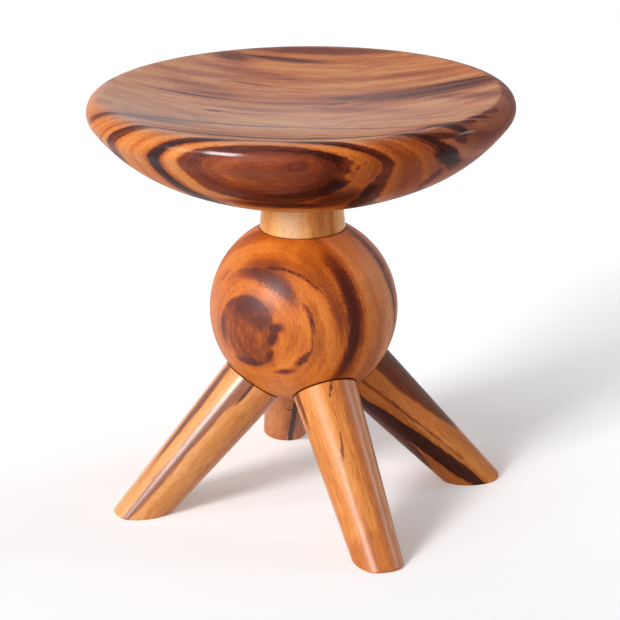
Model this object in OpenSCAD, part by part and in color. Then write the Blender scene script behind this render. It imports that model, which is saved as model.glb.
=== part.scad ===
// A turned hardwood stool: a dished round seat, a short neck, a ball hub and four splayed legs.
// Millimetres, +Z up. The origin is on the floor, under the middle of the seat.
// Inside, the neck has a round tenon at each end, and a fluted dowel holds each leg to the ball.
// The legs were set by eye, so each one has its own direction, reach and rise.

/* [Seat] */
// Diameter of the seat over its rim
seat_d = 400; // [360:1:440]
// Height of the seat, from the flat land under it to the top of its rim
seat_t = 102; // [92:1:112]
// Depth of the dish in the middle of the seat
dish_depth = 21.5; // [8:0.5:30]
// Radius of the rounded rim
rim_r = 15; // [10:0.5:18]
// Radius of the bowl-shaped underside
belly_r = 320; // [290:1:350]
// Distance from the middle at which the underside begins to roll up to the rim
belly_spread = 135; // [115:1:150]

/* [Neck] */
// Diameter of the neck under the seat
neck_d = 78; // [66:0.5:90]
// How far each side of the neck flares out on its way down
neck_flare = 2; // [0.5:0.1:5]
// Height of the neck between the ball and the seat
neck_h = 30; // [20:1:45]
// Width of the eased edge round the foot of the neck
neck_ease = 0.8; // [0.3:0.1:1.5]
// Diameter of the neck's tenons
tenon_d = 44; // [30:1:50]
// Length of the tenon that goes up into the seat
seat_tenon_length = 35; // [20:1:45]
// Length of the tenon that goes down into the ball
ball_tenon_length = 40; // [20:1:45]
// Width of the land turned under the seat beyond the neck
land_margin = 0.6; // [0.2:0.1:3]

/* [Ball] */
// Diameter of the ball
ball_d = 180; // [170:1:190]
// Height of the middle of the ball above the floor
ball_z = 194; // [186:1:205]

/* [Legs] */
// Diameter of a leg where it meets the ball
leg_top_d = 60.5; // [50:0.5:66]
// Diameter of a leg where its middle line reaches the floor
leg_foot_d = 45; // [34:0.5:50]
// How far the sharp outer tip of a foot is taken back
tip_trim = 3; // [1:0.5:5]
// Radius of the eased lower edge of that tip
tip_ease = 2.5; // [1:0.5:5]

/* [Leg dowels] */
// Diameter of a dowel
dowel_d = 24; // [16:1:26]
// Length of a dowel, half of it in the ball and half in the leg
dowel_length = 90; // [60:1:96]
// Number of glue flutes round a dowel
flute_n = 16; // [8:1:20]
// Depth of a glue flute
flute_depth = 0.7; // [0.3:0.1:1]

/* [Fits] */
// Gap at a glued joint, on each side
glue_gap = 0.1; // [0.05:0.05:0.3]
// Room left for glue past the end of a tenon or dowel
end_room = 2; // [1:0.5:4]
// Chamfer at each end of a tenon or dowel
peg_chamfer = 1.5; // [0.5:0.5:3]

/* [Right leg] */
// Direction of the right leg, in degrees round from the right
right_angle = -1; // [-6:0.5:6]
// Distance from the middle of the stool to the middle of the right foot
right_reach = 170; // [160:0.5:180]
// Height at which the right leg's middle line crosses the middle of the stool
right_rise = 191; // [180:0.5:200]

/* [Back leg] */
// Direction of the back leg, in degrees round from the right
back_angle = 83.5; // [78:0.5:96]
// Distance from the middle of the stool to the middle of the back foot
back_reach = 173; // [160:0.5:180]
// Height at which the back leg's middle line crosses the middle of the stool
back_rise = 184.5; // [175:0.5:195]

/* [Left leg] */
// Direction of the left leg, in degrees round from the right
left_angle = 180; // [174:0.5:186]
// Distance from the middle of the stool to the middle of the left foot
left_reach = 164.5; // [158:0.5:180]
// Height at which the left leg's middle line crosses the middle of the stool
left_rise = 181; // [175:0.5:195]

/* [Front leg] */
// Direction of the front leg, in degrees round from the right
front_angle = 278.5; // [264:0.5:284]
// Distance from the middle of the stool to the middle of the front foot
front_reach = 175; // [160:0.5:180]
// Height at which the front leg's middle line crosses the middle of the stool
front_rise = 179; // [172:0.5:195]

/* [Hidden] */
// Sides of an ordinary circle, of a wide one and of a glue flute
$fn = 96;
wide_fn = 240;
flute_fn = 24;
// How far a cut runs past the face that it goes through
over = 1;

// Heights, from the ball upwards
ball_r = ball_d / 2;
neck_r = neck_d / 2;
neck_foot_r = neck_r + neck_flare;
neck_foot_z = ball_z + sqrt(ball_r * ball_r - neck_foot_r * neck_foot_r);
seat_z = neck_foot_z + neck_h;
rim_z = seat_z + seat_t;
flare_r = (neck_h * neck_h + neck_flare * neck_flare) / (2 * neck_flare);
tenon_r = tenon_d / 2;
dowel_r = dowel_d / 2;

// Seat section: the belly arc, a roll arc that touches it, the rim arc and the dish arc
land_r = neck_r + land_margin;
rim_centre = [seat_d / 2 - rim_r, rim_z - rim_r];
belly_centre = [0, seat_z + sqrt(belly_r * belly_r - land_r * land_r)];
roll_start = asin(belly_spread / belly_r);
belly_to_rim = rim_centre - belly_centre;
rim_inset = belly_r - rim_r;
roll_offset = (rim_inset * rim_inset - belly_to_rim * belly_to_rim)
    / (2 * (rim_inset - down(roll_start) * belly_to_rim));
roll_r = belly_r - roll_offset;
roll_centre = belly_centre + roll_offset * down(roll_start);
roll_end = atan2(rim_centre[0] - roll_centre[0], roll_centre[1] - rim_centre[1]);
dish_rise = (rim_centre[0] * rim_centre[0] + rim_r * rim_r
    - (dish_depth + rim_r) * (dish_depth + rim_r)) / (2 * dish_depth);
dish_centre = [0, rim_z + dish_rise];
dish_r = dish_rise + dish_depth;

// A leg is named by its direction, its foot's reach and the rise of its middle line
right = [right_angle, right_reach, right_rise];
back = [back_angle, back_reach, back_rise];
left = [left_angle, left_reach, left_rise];
front = [front_angle, front_reach, front_rise];

// Direction in a section, turned up from straight down
function down(angle) = [sin(angle), -cos(angle)];

// Slope of a leg below level, and its length from the stool's middle line to the floor
function slope(leg) = atan2(leg[2], leg[1]);
function run(leg) = norm([leg[1], leg[2]]);

// Distance along a leg's middle line from the stool's middle line to the ball's surface
function to_ball(leg) = (leg[2] - ball_z) * sin(slope(leg))
    + sqrt(ball_r * ball_r - pow((leg[2] - ball_z) * cos(slope(leg)), 2));

// A leg's taper, and its radius at a distance along its middle line
function taper(leg) = (leg_top_d - leg_foot_d) / 2 / (run(leg) - to_ball(leg));
function leg_r(leg, along) = leg_top_d / 2 - taper(leg) * (along - to_ball(leg));

// Distance from the middle of the stool to the sharp tip that a flat cut leaves on a foot
function tip_along(leg) = (leg[2] + leg_r(leg, 0) * cos(slope(leg)))
    / (sin(slope(leg)) + taper(leg) * cos(slope(leg)));
function tip_reach(leg) = tip_along(leg) * cos(slope(leg))
    + leg_r(leg, tip_along(leg)) * sin(slope(leg));

// Slice of a disc between two directions
module slice(centre, radius, from, to) {
    intersection() {
        translate(centre) circle(r = radius, $fn = wide_fn);
        polygon([centre, centre + 2 * radius * down(from), centre + 2 * radius * down(to)]);
    }
}

// Turns a shape that lies along +Z so that it lies along a leg's middle line
module along_leg(leg) {
    rotate([0, 0, leg[0]])
        translate([0, 0, leg[2]])
            rotate([0, 90 + slope(leg), 0])
                children();
}

// Round peg or tenon along +Z with a chamfer at each end
module peg(radius, length, chamfer) {
    cylinder(h = chamfer, r1 = radius - chamfer, r2 = radius);
    translate([0, 0, chamfer]) cylinder(h = length - 2 * chamfer, r = radius);
    translate([0, 0, length - chamfer]) cylinder(h = chamfer, r1 = radius, r2 = radius - chamfer);
}

// Solid dished seat with a rounded rim, a bowl-shaped underside and a blind socket for the neck
module seat() {
    color("sienna") difference() {
        rotate_extrude() difference() {
            union() {
                slice(belly_centre, belly_r, 0, roll_start);
                slice(roll_centre, roll_r, roll_start, roll_end);
                translate(rim_centre) circle(r = rim_r);
            }
            translate(dish_centre) circle(r = dish_r, $fn = 2 * wide_fn);
            translate([-over, seat_z - belly_r]) square([seat_d, belly_r]);
        }
        translate([0, 0, seat_z - over])
            cylinder(h = seat_tenon_length + end_room + over, r = tenon_r + glue_gap);
    }
}

// Turned neck, flared towards the ball, with a tenon at each end
module neck() {
    color("peru") union() {
        rotate_extrude() difference() {
            translate([0, neck_foot_z]) square([2 * neck_r, neck_h]);
            translate([neck_r + flare_r, seat_z]) circle(r = flare_r, $fn = 2 * wide_fn);
            translate([neck_r + flare_r, neck_foot_z - over]) square([neck_r, neck_h + 2 * over]);
            polygon([[neck_foot_r - neck_ease, neck_foot_z - over],
                [neck_foot_r - neck_ease, neck_foot_z],
                [neck_foot_r + over, neck_foot_z + neck_ease + over],
                [neck_foot_r + over, neck_foot_z - over]]);
        }
        translate([0, 0, neck_foot_z - ball_tenon_length])
            peg(tenon_r, ball_tenon_length + neck_h + seat_tenon_length, peg_chamfer);
    }
}

// Turned ball with a flat land and a socket for the neck, and a socket for each leg's dowel
module ball() {
    color("chocolate") difference() {
        translate([0, 0, ball_z]) sphere(r = ball_r);
        translate([0, 0, neck_foot_z]) cylinder(h = ball_r, r = ball_r);
        translate([0, 0, neck_foot_z - ball_tenon_length - end_room])
            cylinder(h = ball_r, r = tenon_r + glue_gap);
        for (leg = [right, back, left, front]) dowel_socket(leg);
    }
}

// Bore for a dowel, through the joint between the ball and a leg
module dowel_socket(leg) {
    along_leg(leg)
        translate([0, 0, to_ball(leg) - dowel_length / 2 - end_room])
            cylinder(h = dowel_length + 2 * end_room, r = dowel_r + glue_gap);
}

// What is taken off round the tip of a foot: all that lies outside an eased round plug
module tip_waste(leg) {
    plug_r = tip_reach(leg) - leg[1] - tip_trim;
    waste_h = 4 * tip_trim;
    rotate([0, 0, leg[0]]) translate([leg[1], 0, 0]) difference() {
        translate([0, -leg_foot_d, -over]) cube([leg_foot_d, 2 * leg_foot_d, waste_h]);
        rotate_extrude() union() {
            square([plug_r - tip_ease, waste_h + over]);
            translate([0, tip_ease]) square([plug_r, waste_h + over]);
            translate([plug_r - tip_ease, tip_ease]) circle(r = tip_ease);
        }
    }
}

// Tapered leg, coped to the ball, bored for its dowel and cut flat to the floor
module leg(leg) {
    // The cone starts well inside the ball and runs on below the floor, and is then cut back
    start = to_ball(leg) - ball_r / 4;
    length = run(leg) + leg_foot_d - start;
    difference() {
        along_leg(leg) translate([0, 0, start])
            cylinder(h = length, r1 = leg_r(leg, start), r2 = leg_r(leg, start + length));
        translate([0, 0, ball_z]) sphere(r = ball_r + glue_gap);
        dowel_socket(leg);
        translate([-seat_d, -seat_d, -seat_d]) cube([2 * seat_d, 2 * seat_d, seat_d]);
        tip_waste(leg);
    }
}

// Fluted dowel, half in the ball and half in the leg
module dowel(leg) {
    along_leg(leg) translate([0, 0, to_ball(leg) - dowel_length / 2]) difference() {
        peg(dowel_r, dowel_length, peg_chamfer);
        for (i = [0 : flute_n - 1]) rotate([0, 0, i * 360 / flute_n])
            translate([dowel_r, 0, -over])
                cylinder(h = dowel_length + 2 * over, r = flute_depth, $fn = flute_fn);
    }
}

module leg_right() { color("sienna") leg(right); }
module leg_back() { color("sienna") leg(back); }
module leg_left() { color("peru") leg(left); }
module leg_front() { color("peru") leg(front); }
module dowel_right() { color("burlywood") dowel(right); }
module dowel_back() { color("burlywood") dowel(back); }
module dowel_left() { color("burlywood") dowel(left); }
module dowel_front() { color("burlywood") dowel(front); }

seat();
neck();
ball();
leg_right();
leg_back();
leg_left();
leg_front();
dowel_right();
dowel_back();
dowel_left();
dowel_front();
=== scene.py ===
import math

import bmesh
import bpy
from mathutils import Matrix, Vector


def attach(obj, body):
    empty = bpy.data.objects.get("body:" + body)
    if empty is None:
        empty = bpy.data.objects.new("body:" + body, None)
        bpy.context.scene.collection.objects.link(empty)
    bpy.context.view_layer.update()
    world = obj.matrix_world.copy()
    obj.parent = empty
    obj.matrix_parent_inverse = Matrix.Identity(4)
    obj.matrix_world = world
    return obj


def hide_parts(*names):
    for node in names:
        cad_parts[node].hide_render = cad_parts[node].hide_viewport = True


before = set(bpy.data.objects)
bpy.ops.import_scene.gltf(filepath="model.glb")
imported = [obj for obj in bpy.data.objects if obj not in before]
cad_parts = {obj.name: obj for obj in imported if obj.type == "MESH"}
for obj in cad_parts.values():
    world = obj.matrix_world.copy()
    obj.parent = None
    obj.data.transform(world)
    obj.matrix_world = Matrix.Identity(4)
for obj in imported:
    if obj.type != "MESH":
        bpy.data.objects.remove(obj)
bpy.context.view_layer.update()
scene = bpy.context.scene
scene.view_settings.view_transform = "Standard"
MM = 0.001

# Camera
# It stands where the photograph was taken from: about 2.2 m in front of the stool, a little to
# the left of its front leg, and a metre above the floor, looking down with a long lens.
camera_data = bpy.data.cameras.new("camera")
camera_data.sensor_width = 36
camera_data.lens = 142.87
camera_data.clip_end = 50
camera = bpy.data.objects.new("camera", camera_data)
camera.matrix_world = (
    Matrix.Translation((-0.5210, -2.1699, 0.9516))
    @ Matrix.Rotation(math.radians(-13.656), 4, "Z")
    @ Matrix.Rotation(math.radians(90 - 18.835), 4, "X")
    @ Matrix.Rotation(math.radians(-0.713), 4, "Z"))
scene.collection.objects.link(camera)
scene.camera = camera


# Studio floor
# Seamless white paper, unrolled under the stool. Its own colour and a little of its own light,
# seen only by the camera and in reflections, make it near white and keep the stool's shadow.
def linear(code):
    """An sRGB hex colour as linear red, green, blue and alpha."""
    parts = [int(code[i:i + 2], 16) / 255 for i in (1, 3, 5)]
    return [c / 12.92 if c <= 0.04045 else ((c + 0.055) / 1.055) ** 2.4 for c in parts] + [1]


def add(tree, kind, feeds=None, **settings):
    """Adds a node with its settings. Each feed is an input's value, or what is linked to it."""
    node = tree.nodes.new(kind)
    for name, value in settings.items():
        setattr(node, name, value)
    for name, value in (feeds or {}).items():
        if isinstance(value, bpy.types.Node):
            value = value.outputs[0]
        if isinstance(value, bpy.types.NodeSocket):
            tree.links.new(value, node.inputs[name])
        else:
            node.inputs[name].default_value = value
    return node


def blank_material(name):
    """A new material with an empty node tree."""
    material = bpy.data.materials.new(name)
    material.use_nodes = True
    material.node_tree.nodes.clear()
    return material


def seen_by_camera(tree):
    """1 where a surface is seen straight, in a reflection or through glass, and 0 elsewhere."""
    seen = add(tree, "ShaderNodeLightPath").outputs
    straight = add(tree, "ShaderNodeMath", {0: seen["Is Camera Ray"],
        1: seen["Is Glossy Ray"]}, operation="MAXIMUM")
    return add(tree, "ShaderNodeMath", {0: straight, 1: seen["Is Transmission Ray"]},
        operation="MAXIMUM")


# Matt white background paper: an even white with no shine of its own
paper = blank_material("white_background_paper")
tree = paper.node_tree
# The light falls off away from the left front, and the paper's own light makes up for that
spot = add(tree, "ShaderNodeTexCoord")
away = add(tree, "ShaderNodeVectorMath", {0: spot.outputs["Object"], 1: (-0.25, -0.45, 0)},
    operation="DISTANCE")
lift = add(tree, "ShaderNodeMapRange", {"Value": away.outputs["Value"], "From Min": 0.3,
    "From Max": 1.3, "To Min": 0.17, "To Max": 0.47}, interpolation_type="SMOOTHSTEP")
own_light = add(tree, "ShaderNodeMath", {0: seen_by_camera(tree), 1: lift},
    operation="MULTIPLY")
glow = add(tree, "ShaderNodeEmission", {"Color": linear("#FFFFFF"), "Strength": own_light})
matt = add(tree, "ShaderNodeBsdfDiffuse", {"Color": linear("#F1F1F2"), "Roughness": 0.5})
both = add(tree, "ShaderNodeAddShader", {0: matt, 1: glow})
add(tree, "ShaderNodeOutputMaterial", {"Surface": both})

FLOOR_REACH = 9
floor_mesh = bpy.data.meshes.new("floor")
floor_mesh.from_pydata([(x * FLOOR_REACH, y * FLOOR_REACH, 0)
    for x, y in ((-1, -1), (1, -1), (1, 1), (-1, 1))], [], [(0, 1, 2, 3)])
floor_mesh.materials.append(paper)
floor = bpy.data.objects.new("floor", floor_mesh)
scene.collection.objects.link(floor)

# Studio light
# White walls all round, the main softbox and a weak one on the left, a low one in front, and a
# strip on the right. Together they light what faces them about as its colour is written.
world = bpy.data.worlds.new("white_studio")
scene.world = world
world.use_nodes = True
tree = world.node_tree
tree.nodes.clear()
walls_lit = add(tree, "ShaderNodeBackground", {"Color": linear("#FFFFFF"), "Strength": 0.27})
walls_seen = add(tree, "ShaderNodeBackground", {"Color": linear("#FFFFFF"), "Strength": 1.0})
walls = add(tree, "ShaderNodeMixShader", {0: seen_by_camera(tree), 1: walls_lit,
    2: walls_seen})
add(tree, "ShaderNodeOutputWorld", {"Surface": walls})
AIM_HEIGHT = 0.22


def softbox(name, bearing, lift, away, width, height, share):
    """A softbox aimed at the ball, where share is the part of full light that it gives there."""
    lamp = bpy.data.lights.new(name, "AREA")
    lamp.shape = "RECTANGLE"
    lamp.size, lamp.size_y = width, height
    lamp.energy = share * (math.pi * away) ** 2
    holder = bpy.data.objects.new(name, lamp)
    turned, raised = math.radians(bearing), math.radians(lift)
    way = Vector((math.cos(raised) * math.cos(turned), math.cos(raised) * math.sin(turned),
        math.sin(raised)))
    holder.location = Vector((0, 0, AIM_HEIGHT)) + away * way
    holder.rotation_euler = way.to_track_quat("Z", "Y").to_euler()
    scene.collection.objects.link(holder)


softbox("main_softbox", -146.5, 27, 5, 1.35, 1.4, 0.74)
softbox("left_softbox", -170, 20, 5, 1.4, 1.4, 0.1)
softbox("low_softbox", -123, 15, 5, 3, 2.2, 0.07)
softbox("right_strip", -1, 26, 5, 0.5, 1.0, 0.115)

# Seat
# One thick disc of a striped hardwood, tigerwood or the like, turned on a lathe to a shallow dish
# above, a round rim, and a bowl-shaped belly below with a blind socket for the neck's tenon.
# Sizes in mm, of the seat and of the neck and ball that it stands on
SEAT_R, SEAT_T, RIM_R, BELLY_R, DISH_DEPTH = 200, 102, 15, 320, 21.5
BELLY_SPREAD, LAND_EDGE = 135, 0.6
NECK_R, NECK_FLARE, NECK_H, NECK_EASE = 39, 2, 30, 0.8
TENON_R, SEAT_TENON, BALL_TENON, PEG_CHAMFER = 22, 35, 40, 1.5
GLUE_GAP, END_ROOM = 0.1, 2
BALL_R, BALL_Z = 90, 194
NECK_FOOT_R = NECK_R + NECK_FLARE
NECK_FOOT_Z = BALL_Z + math.sqrt(BALL_R ** 2 - NECK_FOOT_R ** 2)
SEAT_Z = NECK_FOOT_Z + NECK_H
RIM_Z = SEAT_Z + SEAT_T
LAND_R = NECK_R + LAND_EDGE


def arc(centre, radius, start, end, steps):
    """Points (radius, height) along a circle, between two angles in radians up from level."""
    return [(centre[0] + radius * math.cos(start + (end - start) * i / steps),
        centre[1] + radius * math.sin(start + (end - start) * i / steps))
        for i in range(steps + 1)]


def turned(name, section, around):
    """Turns a section about +Z. It runs up the outside, from its lowest point on the axis."""
    spots, faces, rings = [], [], []
    for radius, height in section:
        if radius < 1e-6:
            rings.append([len(spots)])
            spots.append((0, 0, height * MM))
        else:
            rings.append([len(spots) + i for i in range(around)])
            spots += [(radius * MM * math.cos(2 * math.pi * i / around),
                radius * MM * math.sin(2 * math.pi * i / around), height * MM)
                for i in range(around)]
    for low, high in zip(rings, rings[1:]):
        for i in range(around):
            j = (i + 1) % around
            if len(low) == 1:
                faces.append((low[0], high[j], high[i]))
            elif len(high) == 1:
                faces.append((low[i], low[j], high[0]))
            else:
                faces.append((low[i], low[j], high[j], high[i]))
    mesh = bpy.data.meshes.new(name)
    mesh.from_pydata(spots, [], faces)
    mesh.shade_smooth()
    mesh.set_sharp_from_angle(angle=math.radians(30))
    piece = bpy.data.objects.new(name, mesh)
    scene.collection.objects.link(piece)
    return piece


# The belly arc, the roll arc that touches it and the rim, and the dish arc that touches the rim
rim_at = Vector((SEAT_R - RIM_R, RIM_Z - RIM_R))
belly_at = Vector((0, SEAT_Z + math.sqrt(BELLY_R ** 2 - LAND_R ** 2)))
roll_from = math.asin(BELLY_SPREAD / BELLY_R)
roll_way = Vector((math.sin(roll_from), -math.cos(roll_from)))
to_rim = rim_at - belly_at
inset = BELLY_R - RIM_R
roll_shift = (inset ** 2 - to_rim.length_squared) / (2 * (inset - roll_way.dot(to_rim)))
roll_r = BELLY_R - roll_shift
roll_at = belly_at + roll_shift * roll_way
roll_to = math.atan2(rim_at.x - roll_at.x, roll_at.y - rim_at.y)
dish_rise = (rim_at.x ** 2 + RIM_R ** 2 - (DISH_DEPTH + RIM_R) ** 2) / (2 * DISH_DEPTH)
dish_at = Vector((0, RIM_Z + dish_rise))
dish_r = dish_rise + DISH_DEPTH
lip = math.atan2(dish_at.y - rim_at.y, -rim_at.x)
quarter = math.pi / 2
socket_r, socket_z = TENON_R + GLUE_GAP, SEAT_Z + SEAT_TENON + END_ROOM
seat_section = (
    [(0, socket_z), (socket_r, socket_z), (socket_r, SEAT_Z)]
    + arc(belly_at, BELLY_R, math.asin(LAND_R / BELLY_R) - quarter, roll_from - quarter, 22)
    + arc(roll_at, roll_r, roll_from - quarter, roll_to - quarter, 20)[1:]
    + arc(rim_at, RIM_R, roll_to - quarter, lip, 28)[1:]
    + arc(dish_at, dish_r, lip - math.pi, -quarter, 30)[1:])
seat_section[-1] = (0, seat_section[-1][1])
seat = turned("turned_seat", seat_section, around=256)


def on_board(tree, origin, up_grain, across):
    """Each point's place in its own board, in mm: Z up the grain, X across it, Y the rest."""
    up_grain, across = Vector(up_grain).normalized(), Vector(across).normalized()
    sides = Matrix((across, up_grain.cross(across), up_grain)).transposed()
    spot = add(tree, "ShaderNodeTexCoord")
    return add(tree, "ShaderNodeMapping", {"Vector": spot.outputs["Object"], "Location": origin,
        "Rotation": sides.to_euler(), "Scale": (MM, MM, MM)}, vector_type="TEXTURE")


def wander(tree, board, size, length, shift, detail=2):
    """Noise drawn out up the grain: size and length of a patch in mm, from -shift to shift."""
    squeezed = add(tree, "ShaderNodeVectorMath", {0: board, 1: (1 / size, 1 / size, 1 / length)},
        operation="MULTIPLY")
    noise = add(tree, "ShaderNodeTexNoise", {"Vector": squeezed, "Scale": 1, "Detail": detail})
    return add(tree, "ShaderNodeMapRange", {"Value": noise, "From Min": 0.25, "From Max": 0.75,
        "To Min": -shift, "To Max": shift}, clamp=False)


def turn_of(tree, opposite, adjacent):
    """The angle in degrees whose tangent is opposite over adjacent."""
    angle = add(tree, "ShaderNodeMath", {0: opposite, 1: adjacent}, operation="ARCTAN2")
    return add(tree, "ShaderNodeMath", {0: angle}, operation="DEGREES")


def streaks(tree, place, table, soft=0.45):
    """How dark each point is, from soft lens-shaped streaks. Each row gives the middle, the half
    length and half width, the turn in degrees, and how dark the streak is."""
    darkest = None
    for along, across, half_length, half_width, turn, depth in table:
        near = add(tree, "ShaderNodeMapping", {"Vector": place, "Location": (along, across, 0),
            "Rotation": (0, 0, math.radians(turn)), "Scale": (half_length, half_width, 1)},
            vector_type="TEXTURE")
        far = add(tree, "ShaderNodeVectorMath", {0: near}, operation="LENGTH")
        core = add(tree, "ShaderNodeMapRange", {"Value": far.outputs["Value"],
            "From Min": 1 + soft / 2, "From Max": 1 - soft / 2, "To Max": depth},
            interpolation_type="SMOOTHSTEP")
        halo = add(tree, "ShaderNodeMapRange", {"Value": far.outputs["Value"], "From Min": 2,
            "From Max": 1, "To Max": 0.3 * depth}, interpolation_type="SMOOTHSTEP")
        mark = add(tree, "ShaderNodeMath", {0: core, 1: halo}, operation="MAXIMUM")
        darkest = mark if darkest is None else add(tree, "ShaderNodeMath",
            {0: darkest, 1: mark}, operation="MAXIMUM")
    return darkest


def ramp_of(tree, share, marks):
    """A colour ramp over a share from 0 to 1, from (share, colour) marks."""
    ramp = add(tree, "ShaderNodeValToRGB", {"Fac": share})
    made = ramp.color_ramp.elements
    while len(made) < len(marks):
        made.new(0.5)
    for mark, (at, colour) in zip(made, marks):
        mark.position, mark.color = at, colour
    return ramp


def bands(tree, layer, low, high, stops):
    """How dark each growth layer is, from (layer in mm, darkness) stops."""
    share = add(tree, "ShaderNodeMapRange", {"Value": layer, "From Min": low, "From Max": high})
    return ramp_of(tree, share, [((at - low) / (high - low), (depth, depth, depth, 1))
        for at, depth in stops])


def lacquered(tree, board, layer, dark, tones, line_depth=0.14, coat=0.3, coat_rough=0.12,
        faded=0):
    """Shades a wood whose darkness is known: growth lines, fibres, pores, and a clear lacquer.
    The tones run from sapwood, through orange and red-brown, to chocolate heartwood."""
    # Growth lines, from 12 mm apart down to 1.5 mm, wander slowly up the grain
    up = add(tree, "ShaderNodeSeparateXYZ", {0: board})
    along = add(tree, "ShaderNodeMath", {0: up.outputs["Z"], 1: 1 / 170}, operation="MULTIPLY")
    across = add(tree, "ShaderNodeMath", {0: layer, 1: 1 / 12}, operation="MULTIPLY")
    sheet = add(tree, "ShaderNodeCombineXYZ", {0: across, 2: along})
    line = add(tree, "ShaderNodeTexNoise", {"Vector": sheet, "Scale": 1, "Detail": 4,
        "Roughness": 0.72})
    lines = add(tree, "ShaderNodeMapRange", {"Value": line, "From Min": 0.3, "From Max": 0.7,
        "To Min": -line_depth, "To Max": line_depth}, clamp=False)
    # Fibres are under 0.1 mm wide in the wood, and are drawn 0.8 mm wide so that they show
    fibre = wander(tree, board, 0.8, 20, 0.13)
    cloud = wander(tree, board, 26, 110, 0.07)
    with_lines = add(tree, "ShaderNodeMath", {0: dark, 1: lines}, operation="ADD")
    with_fibre = add(tree, "ShaderNodeMath", {0: with_lines, 1: fibre}, operation="ADD")
    shade = add(tree, "ShaderNodeMath", {0: with_fibre, 1: cloud}, operation="ADD")
    ramp = ramp_of(tree, shade, [(at, linear(code)) for at, code in tones])
    # Pores are short dark dashes along the grain, drawn 0.8 mm wide for the same reason
    pore = wander(tree, board, 0.8, 5, 1, 1)
    pores = add(tree, "ShaderNodeMapRange", {"Value": pore, "From Min": 0.4, "From Max": 1.0,
        "To Min": 1, "To Max": 0.6})
    coloured = add(tree, "ShaderNodeMix", {"Factor": 1, "A": ramp, "B": pores},
        data_type="RGBA", blend_type="MULTIPLY")
    # Parts of the board are less red than others
    strength = add(tree, "ShaderNodeMapRange", {"Value": faded, "To Min": 1, "To Max": 0.84})
    mellowed = add(tree, "ShaderNodeHueSaturation", {"Saturation": strength,
        "Color": coloured.outputs["Result"]})
    # The lacquer fills the grain but for a faint telegraphing of the fibres
    rough = add(tree, "ShaderNodeMapRange", {"Value": fibre, "From Min": -0.13, "From Max": 0.13,
        "To Min": 0.46, "To Max": 0.56})
    grain_high = add(tree, "ShaderNodeMath", {0: pores, 1: fibre}, operation="ADD")
    bump = add(tree, "ShaderNodeBump", {"Strength": 0.10, "Distance": 0.0002,
        "Height": grain_high})
    # A clear lacquer shines most where it is seen at a slant
    slant = add(tree, "ShaderNodeLayerWeight", {"Blend": 0.5})
    slanted = add(tree, "ShaderNodeMapRange", {"Value": slant.outputs["Facing"],
        "From Min": 0.3, "From Max": 0.8, "To Min": 0.7, "To Max": 1})
    shine = add(tree, "ShaderNodeMath", {0: slanted, 1: coat}, operation="MULTIPLY",
        use_clamp=True)
    wood = add(tree, "ShaderNodeBsdfPrincipled", {"Base Color": mellowed,
        "Roughness": rough, "IOR": 1.5, "Specular IOR Level": 0.02, "Coat Weight": shine,
        "Coat Roughness": coat_rough, "Coat IOR": 1.5, "Normal": bump})
    add(tree, "ShaderNodeOutputMaterial", {"Surface": wood})


# Tigerwood, turned, sanded fine and clear lacquered. Its growth layers are tubes about a line
# that lies level above the seat, so the rim shows them as rings and the dish as long streaks.
seat_wood = blank_material("lacquered_tigerwood_seat")
tree = seat_wood.node_tree
board = on_board(tree, (0, 0, 0), (0.9128, -0.4083, 0), (0.4083, 0.9128, 0))
spot = add(tree, "ShaderNodeSeparateXYZ", {0: board})
wave = wander(tree, board, 45, 120, 1.5)
tooth = wander(tree, board, 1.3, 22, 0.6)
# The grain swings round by ten degrees between the front of the seat and its middle
swing_on = add(tree, "ShaderNodeMapRange", {"Value": spot.outputs["X"], "From Min": -60,
    "From Max": 40, "To Max": 0.187}, interpolation_type="SMOOTHSTEP")
swing_off = add(tree, "ShaderNodeMapRange", {"Value": spot.outputs["X"], "From Min": 40,
    "From Max": 150, "To Max": 0.127}, interpolation_type="SMOOTHSTEP")
swing = add(tree, "ShaderNodeMath", {0: swing_on, 1: swing_off}, operation="SUBTRACT")
swung = add(tree, "ShaderNodeMath", {0: swing, 1: spot.outputs["Z"]}, operation="MULTIPLY")
forward = add(tree, "ShaderNodeMath", {0: swung, 1: spot.outputs["X"]}, operation="SUBTRACT")
from_pith = add(tree, "ShaderNodeMath", {0: forward, 1: 61.5}, operation="SUBTRACT")
below_pith = add(tree, "ShaderNodeMath", {0: spot.outputs["Y"], 1: 461}, operation="SUBTRACT")
pith_gap = add(tree, "ShaderNodeCombineXYZ", {0: from_pith, 1: below_pith})
ring = add(tree, "ShaderNodeVectorMath", {0: pith_gap}, operation="LENGTH")
# The rings draw in towards the bottom of the belly, and a little towards the right
lowness = add(tree, "ShaderNodeMapRange", {"Value": spot.outputs["Y"], "From Min": 390,
    "From Max": 340})
draw_in = add(tree, "ShaderNodeMath", {0: lowness, 1: 2}, operation="POWER")
drawn = add(tree, "ShaderNodeMath", {0: draw_in, 1: -8, 2: wave}, operation="MULTIPLY_ADD")
sideways = add(tree, "ShaderNodeMath", {0: spot.outputs["Z"], 1: 0.017, 2: drawn},
    operation="MULTIPLY_ADD")
ring_waved = add(tree, "ShaderNodeMath", {0: ring.outputs["Value"], 1: sideways},
    operation="ADD")
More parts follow.
